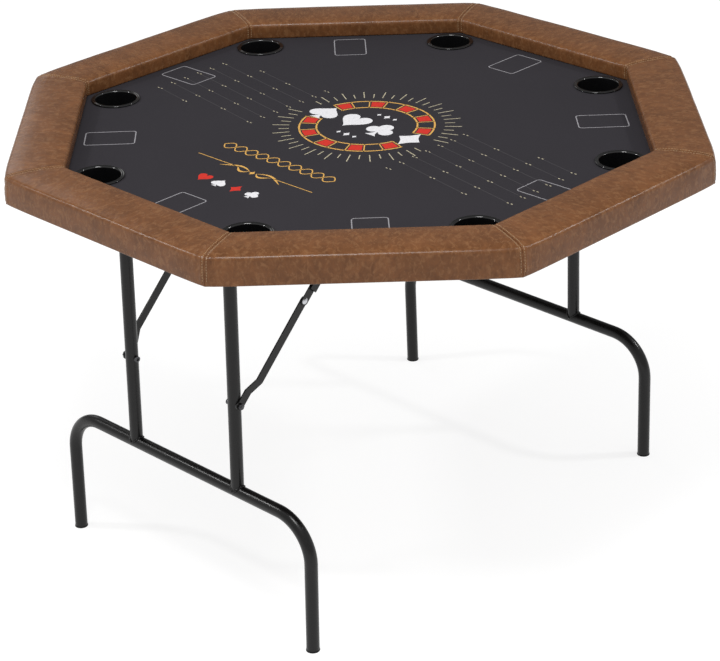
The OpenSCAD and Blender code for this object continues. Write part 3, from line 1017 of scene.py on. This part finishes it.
# The ornaments in front of it.
WAVE_ROW, WAVE_SPAN = -200 * MM, (-128 * MM, 138 * MM)
WAVE_SWING, WAVE_LINE = 12 * MM, 2.2 * MM
RULE_ROW, RULE_SPAN, RULE_LINE = -262 * MM, (46 * MM, 138 * MM), 1.6 * MM
LEAVES = ((72 * MM, 9 * MM), (40 * MM, -8 * MM))
LEAF_START, LEAF_WIDTH = 8 * MM, 4.6 * MM
SUIT_ROW, SUIT_ROW_START, SUIT_ROW_PITCH = -330 * MM, -46 * MM, 39.5 * MM
SMALL_SUIT = 29 * MM

# Dashes and guide lines beside it.
ROW_STEP, COLUMN_STEP, FIRST_COLUMN = 33.4 * MM, 85 * MM, 170 * MM
DASH_APART, DASH_HALF, DASH_RISE, DASH_LINE = 4.2 * MM, 2.2 * MM, 0.4 * MM, 1.8 * MM
GUIDE_CLEAR, GUIDE_RISE, GUIDE_LINE = 9 * MM, 1.8 * MM, 1.0 * MM

# Card outlines; one is printed a little off its place along the rail.
CARD_RING, CARD_SHIFT = 437 * MM, (4 * MM, -3.5 * MM)
CARD_CORNER, CARD_LINE = 6 * MM, 1.9 * MM
STRAY_CARD, STRAY = 3, 7 * MM


def on_circle(radius, degrees):
    """A place round the medallion's centre."""
    angle = math.radians(degrees)
    return MEDALLION[0] + radius * math.cos(angle), MEDALLION[1] + radius * math.sin(angle)


def draw_medallion(gold, red, white, pale, outer):
    """A ring of red segments with rays round it, open at both sides for a row of four suits."""
    inner = outer * RING_SHARE
    for start in (RING_GAP, 180 + RING_GAP):
        reach = 180 - 2 * RING_GAP
        for radius in (outer, inner):
            gold.line([on_circle(radius, start + reach * i / 60) for i in range(61)], RING_LINE)
        for i in range(RING_PARTS + 1):
            angle = start + reach * i / RING_PARTS
            spoke = [on_circle(inner - 1.5 * MM, angle), on_circle(outer + 1.5 * MM, angle)]
            gold.line(spoke, SPOKE_LINE)
        for i in range(0, RING_PARTS, 2):
            first = start + reach * (i + 0.12) / RING_PARTS
            last = start + reach * (i + 0.88) / RING_PARTS
            edge = [on_circle(outer - 4 * MM, first + (last - first) * k / 6) for k in range(7)]
            back = [on_circle(inner + 4 * MM, first + (last - first) * k / 6) for k in range(7)]
            red.outline(edge + back[::-1])
    for i in range(RAYS):
        angle = 360 * (i + 0.5) / RAYS
        reach = outer * (RAY_LONG if i % 2 else RAY_SHORT)
        if abs(math.sin(math.radians(angle))) > 0.12:
            pale.line([on_circle(outer * RAY_START, angle), on_circle(reach, angle)], RAY_LINE)
    for i, suit in enumerate(("spade", "heart", "club", "diamond")):
        draw_suit(white, suit, MEDALLION[0] + (i - 1.5) * SUIT_PITCH, MEDALLION[1], SUIT_SIZE)
    for row in (-1, 1):
        for k in (-1, 0, 1):
            x = MEDALLION[0] + k * DIAMOND_PITCH
            y = MEDALLION[1] + row * DIAMOND_ROW
            white.outline(moved(diamond(), x, y, DIAMOND_SMALL if k else DIAMOND_LARGE))


def draw_ornaments(gold):
    """An interlaced wave band and a ruled line with leaves, both plain."""
    left, right = WAVE_SPAN
    for phase in (0, math.pi):
        points = []
        for i in range(121):
            t = i / 120
            swing = WAVE_SWING * math.sin(10 * math.pi * t + phase)
            points.append((left + (right - left) * t, WAVE_ROW + swing))
        gold.line(points, WAVE_LINE)
    middle = MEDALLION[0]
    for way in (-1, 1):
        gold.line([(middle + way * reach, RULE_ROW + 3 * MM) for reach in RULE_SPAN], RULE_LINE)
        for spread, bend in LEAVES:
            points = []
            for i in range(17):
                t = i / 16
                x = LEAF_START + (spread - LEAF_START) * t
                y = bend * math.sin(math.pi * t * 1.25) - 3 * MM * t
                points.append((middle + way * x, RULE_ROW + y))
            gold.line(points if way > 0 else points[::-1], LEAF_WIDTH, taper=True)
    gold.outline(moved(diamond(), middle, RULE_ROW - 2 * MM, 15 * MM))


def dash_spots():
    """Places of the paired dashes, in staggered columns on both sides of the medallion."""
    for way in (-1, 1):
        for column in range(4):
            rows = 7 if column % 2 == 0 else 6
            for row in range(rows):
                yield way * (FIRST_COLUMN + column * COLUMN_STEP), (row - (rows - 1) / 2) * ROW_STEP


def draw_dashes(pale):
    """A pair of short dashes at each spot."""
    for x, y in dash_spots():
        for middle in (x - DASH_APART, x + DASH_APART):
            start, end = (middle - DASH_HALF, y + DASH_RISE), (middle + DASH_HALF, y - DASH_RISE)
            pale.line([start, end], DASH_LINE)


def draw_guides(faint):
    """Faint slanted lines that run through the dashes."""
    for x, y in dash_spots():
        if x > FIRST_COLUMN + 2.9 * COLUMN_STEP:
            continue
        end_x, end_y = x + COLUMN_STEP, y - ROW_STEP / 2
        if abs(end_x) > 0.9 * FIRST_COLUMN and end_y > -3.3 * ROW_STEP:
            start = (x + GUIDE_CLEAR, y - GUIDE_RISE)
            faint.line([start, (end_x - GUIDE_CLEAR, end_y + GUIDE_RISE)], GUIDE_LINE)


def draw_cards(grey, settings):
    """A card outline in front of each side of the rail."""
    shape = rounded_rectangle(settings.card_width, settings.card_length, CARD_CORNER)
    for i in range(SIDES):
        angle = i * 2 * HALF
        x = CARD_RING * math.sin(angle) + CARD_SHIFT[0]
        y = CARD_RING * math.cos(angle) + CARD_SHIFT[1]
        if i == STRAY_CARD:
            x, y = x + STRAY, y + STRAY
        grey.line(moved(shape, x, y, 1.0, -angle), CARD_LINE, closed=True)


# ---------------------------------------------------------------- cups, welds, staples


LIP_RADIUS, RIM_RADIUS = 2.8 * MM, 1.5 * MM
CUP_WALL, CUP_FLOOR = 1.8 * MM, 2 * MM

# Weld beads: their radii, the points round each one and along it, and the ripples along it.
UPRIGHT_BEAD, PIVOT_BEAD = 2.3 * MM, 1.9 * MM
BEAD_RING, BEAD_TURNS = 8, 72
UPRIGHT_RIPPLES, PIVOT_RIPPLES = 24, 20

STAPLES_A_SIDE = 14
STAPLE_LENGTH, STAPLE_WIDTH, STAPLE_HEIGHT = 10.5 * MM, 1.1 * MM, 0.6 * MM
STAPLE_ROW, STAPLE_END = 28 * MM, 14 * MM


def cup_profile():
    """Radius and height of a cup holder's section, from its inner floor, over the rim, to its base."""
    z, rim, mouth = CLOTH_TOP, CUP_RIM, CUP_MOUTH
    top, base = CUP_HIGH.z, CUP_LOW.z
    body = mouth + CUP_WALL
    floor = base + CUP_FLOOR
    points = [(0, floor + 0.5 * MM), (8 * MM, floor + 0.5 * MM), (9 * MM, floor), (mouth - 5 * MM, floor)]
    points += arc(mouth - 4.2 * MM, floor + 4 * MM, 4 * MM, -90, 0, 6)
    points += [(mouth - 0.1 * MM, floor + 12 * MM), (mouth, z - 6 * MM)]
    points += arc(mouth + LIP_RADIUS, top - LIP_RADIUS, LIP_RADIUS, 180, 90, 8)
    for out, down in ((3.6 * MM, 0.2 * MM), (4.2 * MM, 0.8 * MM), (4.9 * MM, 0.15 * MM)):
        points.append((mouth + out, top - down))
    points += arc(rim - RIM_RADIUS, top - RIM_RADIUS, RIM_RADIUS, 90, -60, 8)
    points += [(rim - 1.2 * MM, z), (body + 1.2 * MM, z), (body, z - 1 * MM), (body, base + 3 * MM)]
    points += arc(body - 3 * MM, base + 3 * MM, 3 * MM, 0, -90, 5)
    points += [(0, base)]
    return points


def build_cup(index, material):
    """One cup holder, turned to its section and set in its hole."""
    name = f"cup_holder_{index + 1}"
    low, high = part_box(name)
    middle = (low + high) / 2
    vertices, faces = lathe(cup_profile(), 96)
    vertices = [(x + middle.x, y + middle.y, z) for x, y, z in vertices]
    piece = new_piece("drop_in_" + name, vertices, faces, material, TOP_BODY, "cup_plastic")
    flip_outward(piece)
    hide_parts(name)
    return piece


def leg_frame(side):
    """Hinge place and outward lean of a leg frame, from its packed joint and foot caps."""
    joint = next(j for j in frame["joints"] if j["name"] == side + "_leg_fold")
    hinge = Vector(joint["pos_m"])
    low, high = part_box(side + "_foot_caps")
    foot = Vector(((low.x + high.x) / 2, 0, 0))
    down = (foot - Vector((hinge.x, 0, hinge.z))).normalized()
    return hinge, down


def add_bead(vertices, faces, stations):
    """A bead through a closed loop of stations: a centre, two directions across it, and a radius."""
    base, count = len(vertices), len(stations)
    for centre, away, beside, size in stations:
        for k in range(BEAD_RING):
            turn = 2 * math.pi * k / BEAD_RING
            across = away * (size * math.cos(turn)) + beside * (size * math.sin(turn))
            vertices.append(centre + across)
    for i in range(count):
        here, there = base + i * BEAD_RING, base + (i + 1) % count * BEAD_RING
        for k in range(BEAD_RING):
            n = (k + 1) % BEAD_RING
            faces.append((here + k, here + n, there + n, there + k))


def build_welds(side, material, settings):
    """Rippled fillet beads round each upright's foot and each end of the pivot tube."""
    hinge, down = leg_frame(side)
    level = Vector((0, 1, 0))
    out = level.cross(down)
    low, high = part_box(f"{side}_rear_upright")
    tube = (high.y - low.y) / 2
    upright_y = (high.y + low.y) / 2
    bar_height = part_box(f"{side}_foot_tube")[1].z - tube
    bar_drop = (hinge.z - bar_height) / -down.z
    pivot_low, pivot_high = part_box(f"{side}_pivot_tube")
    pivot = (pivot_high.z - pivot_low.z) / 2
    angles = [2 * math.pi * i / BEAD_TURNS for i in range(BEAD_TURNS)]
    vertices, faces = [], []
    for y in (-upright_y, upright_y):
        stations = []
        for angle in angles:
            along, across = math.cos(angle), math.sin(angle)
            rise = math.sqrt(max(tube * tube - (tube * across) ** 2, 0)) + 0.4 * MM
            foot = Vector((hinge.x, y, hinge.z)) + down * (bar_drop - rise)
            away = level * along + out * across
            size = UPRIGHT_BEAD + settings.weld_ripple * math.sin(UPRIGHT_RIPPLES * angle)
            stations.append((foot + away * tube, away.normalized(), -down, size))
        add_bead(vertices, faces, stations)
    for way in (-1, 1):
        stations = []
        for angle in angles:
            away = out * math.sin(angle) - down * math.cos(angle)
            inset = math.sqrt(max(tube * tube - (pivot * math.sin(angle)) ** 2, 0))
            root = Vector((hinge.x, way * (upright_y - inset), hinge.z)) + away * pivot
            size = PIVOT_BEAD + settings.weld_ripple * math.sin(PIVOT_RIPPLES * angle)
            stations.append((root, away, level, size))
        add_bead(vertices, faces, stations)
    body = f"{side}_leg_frame"
    piece = new_piece(f"{side}_weld_beads", vertices, faces, material, body, "black_steel")
    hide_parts(f"{side}_welds")
    return piece


def box_mesh(centre, along, across, up, length, width, height):
    """A box in its own three directions."""
    vertices = []
    for a in (-1, 1):
        for b in (-1, 1):
            for c in (-1, 1):
                corner = along * (a * length / 2) + across * (b * width / 2) + up * (c * height / 2)
                vertices.append(centre + corner)
    faces = [(0, 1, 3, 2), (4, 6, 7, 5), (0, 4, 5, 1), (2, 3, 7, 6), (0, 2, 6, 4), (1, 5, 7, 3)]
    return vertices, faces


def build_hem_staples(skin, material):
    """The staples that hold the turned-under hem to the board."""
    rng = random.Random(8)
    vertices, faces = [], []
    radius = OUTER - STAPLE_ROW
    size = (STAPLE_LENGTH, STAPLE_WIDTH, STAPLE_HEIGHT)
    for side in range(SIDES):
        half = radius * TAN - STAPLE_END
        for i in range(STAPLES_A_SIDE):
            along = -half + 2 * half * i / (STAPLES_A_SIDE - 1) + rng.uniform(-3, 3) * MM
            tilt = rng.uniform(-0.25, 0.25)
            centre = skin.turned(side, radius + rng.uniform(-2, 2) * MM, along, RAIL_BASE - 0.15 * MM)
            angle = 2 * HALF * side + tilt
            run = Vector((-math.sin(angle), math.cos(angle), 0))
            across = Vector((math.cos(angle), math.sin(angle), 0))
            points, sides = box_mesh(centre, run, across, Vector((0, 0, 1)), *size)
            base = len(vertices)
            vertices += points
            faces += [tuple(k + base for k in face) for face in sides]
    return new_piece("hem_staples", vertices, faces, material, TOP_BODY, "zinc", smooth=False)


# ---------------------------------------------------------------- operators


FLOOR_REACH = 14.0
LIGHT_AIM = Vector((0, 0, 0.75))
# The direction of the dark flag behind the far rail, and how far round it the light fades.
FLAG_DIRECTION = (0.66, 0.64, 0.38)
FLAG_FADE = (0.35, 0.85)


class TABLE_OT_stage(bpy.types.Operator):
    """Add the camera, the plain pale floor and the soft studio light"""

    bl_idname = "poker_table.stage"
    bl_label = "Stage"

    def execute(self, context):
        s = context.scene.poker_stage
        camera_data = bpy.data.cameras.new("camera")
        camera = bpy.data.objects.new("camera", camera_data)
        context.scene.collection.objects.link(camera)
        context.scene.camera = camera
        camera_data.sensor_width = 36
        camera_data.lens = s.lens
        camera_data.clip_end = 60
        reach = math.cos(s.pitch)
        forward = Vector((reach * math.cos(s.yaw), reach * math.sin(s.yaw), -math.sin(s.pitch)))
        level = forward.cross(Vector((0, 0, 1))).normalized()
        rise = level.cross(forward)
        right = level * math.cos(s.roll) + rise * math.sin(s.roll)
        up = rise * math.cos(s.roll) - level * math.sin(s.roll)
        camera.matrix_world = Matrix((
            (right.x, up.x, -forward.x, s.camera[0]),
            (right.y, up.y, -forward.y, s.camera[1]),
            (right.z, up.z, -forward.z, s.camera[2]),
            (0, 0, 0, 1),
        ))
        self.add_floor(context, s)
        self.add_light(context, s)
        return {"FINISHED"}

    def add_floor(self, context, s):
        """A plain pale floor that glows a little, so that it stays even."""
        shader = Shader("studio_floor")
        grain = shader.noise(shader.place(), 30, 3)
        shader.bump(grain, 0.0002, 0.2)
        tint = shader.mix(grain, scaled(s.floor, 0.99), tuple(s.floor))
        shader.surface.inputs["Emission Color"].default_value = (1, 1, 1, 1)
        material = shader.finish(tint, 0.9, specular=0.1, emission_strength=s.table_glow)
        # Seen from underneath the floor is clear, so that the board's lower side can be looked at.
        clear = shader.add("ShaderNodeBsdfTransparent")
        pick = shader.add("ShaderNodeMixShader")
        shader.join(shader.add("ShaderNodeNewGeometry").outputs["Backfacing"], pick.inputs["Fac"])
        shader.join(shader.surface.outputs["BSDF"], pick.inputs[1])
        shader.join(clear.outputs["BSDF"], pick.inputs[2])
        shader.join(pick.outputs["Shader"], shader.tree.nodes["Material Output"].inputs["Surface"])
        around = ((-1, -1), (1, -1), (1, 1), (-1, 1))
        corners = [(x * FLOOR_REACH, y * FLOOR_REACH, 0) for x, y in around]
        mesh = bpy.data.meshes.new("floor")
        mesh.from_pydata(corners, [], [(0, 1, 2, 3)])
        mesh.materials.append(material)
        floor = bpy.data.objects.new("floor", mesh)
        context.scene.collection.objects.link(floor)

    def add_light(self, context, s):
        """Even light from all round, dimmed behind the far rail, and four soft lamps."""
        world = bpy.data.worlds.new("studio")
        context.scene.world = world
        world.use_nodes = True
        nodes, links = world.node_tree.nodes, world.node_tree.links
        around = nodes.new("ShaderNodeTexCoord").outputs["Generated"]
        facing = nodes.new("ShaderNodeVectorMath")
        facing.operation = "DOT_PRODUCT"
        facing.inputs[1].default_value = FLAG_DIRECTION
        links.new(around, facing.inputs[0])
        fade = nodes.new("ShaderNodeMapRange")
        fade.interpolation_type = "SMOOTHSTEP"
        start, end = FLAG_FADE
        limits = {"From Min": start, "From Max": end, "To Min": s.sky, "To Max": s.flag}
        for key, value in limits.items():
            fade.inputs[key].default_value = value
        links.new(facing.outputs["Value"], fade.inputs["Value"])
        links.new(fade.outputs["Result"], nodes["Background"].inputs["Strength"])
        nodes["Background"].inputs["Color"].default_value = (1, 1, 1, 1)
        lights = (
            ("front_softbox", (-1.15, -0.8, 3.4), 0.9, s.softbox),
            ("right_strip", (2.0, -1.75, 2.7), 0.25, s.strip),
            ("left_strip", (-1.75, 2.0, 2.7), 0.25, s.strip),
            ("far_side_softbox", (0.9, 3.6, 2.3), 1.5, s.side_box),
        )
        for name, place, size, power in lights:
            data = bpy.data.lights.new(name, "AREA")
            data.shape = "SQUARE"
            data.size = size
            data.energy = power
            light = bpy.data.objects.new(name, data)
            context.scene.collection.objects.link(light)
            light.location = place
            aim = LIGHT_AIM - Vector(place)
            light.rotation_euler = aim.to_track_quat("-Z", "Y").to_euler()
        context.scene.view_settings.view_transform = "Standard"


class TABLE_OT_rail(bpy.types.Operator):
    """Build the eight padded leatherette sides of the rail"""

    bl_idname = "poker_table.rail"
    bl_label = "Padded rail"

    def execute(self, context):
        s = context.scene.poker_rail
        skin = RailSkin(s)
        material = leatherette(s)
        for side in range(SIDES):
            build_rail_pad(skin, side, material)
        return {"FINISHED"}


class TABLE_OT_stitches(bpy.types.Operator):
    """Sew two rows of stitches beside each mitre seam"""

    bl_idname = "poker_table.stitches"
    bl_label = "Corner stitches"

    def execute(self, context):
        s = context.scene.poker_rail
        skin = RailSkin(s)
        material = thread_finish(s)
        for corner in range(SIDES):
            build_seam_stitches(skin, corner, material)
        return {"FINISHED"}


class TABLE_OT_cloth(bpy.types.Operator):
    """Lay the foam and the stretched playing cloth, with their cup holes"""

    bl_idname = "poker_table.cloth"
    bl_label = "Playing cloth"

    def execute(self, context):
        s = context.scene.poker_cloth
        layout = sheet_layout()
        foam = build_sheet("foam_under_cloth", "foam_sheet", layout, open_cell_foam(), "foam", no_dip)
        cloth = build_sheet(
            "stretched_playing_cloth", "playing_cloth", layout, speed_cloth(s), "cloth", cloth_dip(s)
        )
        return {"FINISHED"}


class TABLE_OT_print(bpy.types.Operator):
    """Print the medallion, ornaments, suits, dashes and card outlines on the cloth"""

    bl_idname = "poker_table.print"
    bl_label = "Cloth print"

    def execute(self, context):
        s = context.scene.poker_cloth
        gold = Print("gold_print", "print_gold", ink("gold_ink", s.gold, s), s, 1)
        red = Print("red_print", "print_red", ink("red_ink", s.red, s), s)
        white = Print("white_print", "print_white", ink("white_ink", s.white, s), s, 2)
        grey = Print("card_outlines", "print_grey", ink("grey_ink", s.grey, s), s)
        faint = Print("guide_lines", "print_grey", ink("faint_ink", s.faint, s), s)
        pale = Print("dashes_and_rays", "print_gold", ink("pale_ink", s.pale, s), s, 1)
        draw_medallion(gold, red, white, pale, s.medallion_radius)
        draw_ornaments(gold)
        draw_dashes(pale)
        draw_guides(faint)
        draw_cards(grey, s)
        for i, suit in enumerate(("heart", "spade", "diamond", "club")):
            x = SUIT_ROW_START + SUIT_ROW_PITCH * i
            draw_suit(white if i % 2 else red, suit, x, SUIT_ROW, SMALL_SUIT)
        for sheet in (gold, red, white, grey, faint, pale):
            sheet.done()
        return {"FINISHED"}


class TABLE_OT_cups(bpy.types.Operator):
    """Turn the eight drop-in cup holders"""

    bl_idname = "poker_table.cups"
    bl_label = "Cup holders"

    def execute(self, context):
        material = gloss_plastic(context.scene.poker_parts.plastic)
        for index in range(SIDES):
            build_cup(index, material)
        return {"FINISHED"}


class TABLE_OT_legs(bpy.types.Operator):
    """Finish the leg frames and braces, and lay their weld beads"""

    bl_idname = "poker_table.legs"
    bl_label = "Leg frames"

    def execute(self, context):
        s = context.scene.poker_parts
        coat = powder_coat(s.steel)
        parts = ["foot_tube", "pivot_tube", "hinge_clips", "brace_brackets"]
        for end in ("front", "rear"):
            parts += [f"{end}_upright", f"{end}_brace_strap", f"{end}_brace_channel"]
        names = []
        for side in ("left", "right"):
            names += [f"{side}_{part}" for part in parts]
            build_welds(side, coat, s)
        dress(names, coat)
        dress(["left_foot_caps", "right_foot_caps"], soft_rubber())
        return {"FINISHED"}


class TABLE_OT_hardware(bpy.types.Operator):
    """Finish the rivets, screws, pins, bolts and nuts"""

    bl_idname = "poker_table.hardware"
    bl_label = "Hardware"

    def execute(self, context):
        zinc = zinc_plate(context.scene.poker_parts.zinc)
        rivets = [f"{side}_{end}_brace_rivet" for side in ("left", "right") for end in ("front", "rear")]
        dress(["clip_screws", "bracket_screws", "bracket_pins", *rivets], zinc)
        dark = blackened_steel()
        for side in ("left", "right"):
            dress([f"{side}_brace_bolts", f"{side}_brace_nuts"], dark)
        build_hem_staples(RailSkin(context.scene.poker_rail), zinc)
        return {"FINISHED"}


class TABLE_OT_board(bpy.types.Operator):
    """Finish the board and the rail's wood blocks"""

    bl_idname = "poker_table.board"
    bl_label = "Board"

    def execute(self, context):
        dress(["board"], board_paint(context.scene.poker_parts))
        dress(["rail_blocks"], plain_pine())
        return {"FINISHED"}


STEPS = (
    TABLE_OT_stage, TABLE_OT_rail, TABLE_OT_stitches, TABLE_OT_cloth, TABLE_OT_print,
    TABLE_OT_cups, TABLE_OT_legs, TABLE_OT_hardware, TABLE_OT_board,
)

GROUPS = {
    "poker_rail": RailSettings,
    "poker_cloth": ClothSettings,
    "poker_parts": PartSettings,
    "poker_stage": StageSettings,
}


class TABLE_PT_panel(bpy.types.Panel):
    """Lists every step of the table"""

    bl_idname = "TABLE_PT_panel"
    bl_label = "Poker Table"
    bl_space_type = "VIEW_3D"
    bl_region_type = "UI"
    bl_category = "Poker Table"

    def draw(self, context):
        column = self.layout.column()
        for step in STEPS:
            column.operator(step.bl_idname)
        for group in GROUPS:
            settings = getattr(context.scene, group)
            for name in settings.__annotations__:
                column.prop(settings, name)


def register():
    for group, settings in GROUPS.items():
        bpy.utils.register_class(settings)
        setattr(bpy.types.Scene, group, bpy.props.PointerProperty(type=settings))
    for step in STEPS:
        bpy.utils.register_class(step)
    bpy.utils.register_class(TABLE_PT_panel)


def unregister():
    bpy.utils.unregister_class(TABLE_PT_panel)
    for step in reversed(STEPS):
        bpy.utils.unregister_class(step)
    for group, settings in GROUPS.items():
        delattr(bpy.types.Scene, group)
        bpy.utils.unregister_class(settings)


def main():
    register()
    for step in STEPS:
        family, name = step.bl_idname.split(".")
        getattr(getattr(bpy.ops, family), name)()


if __name__ == "__main__":
    main()
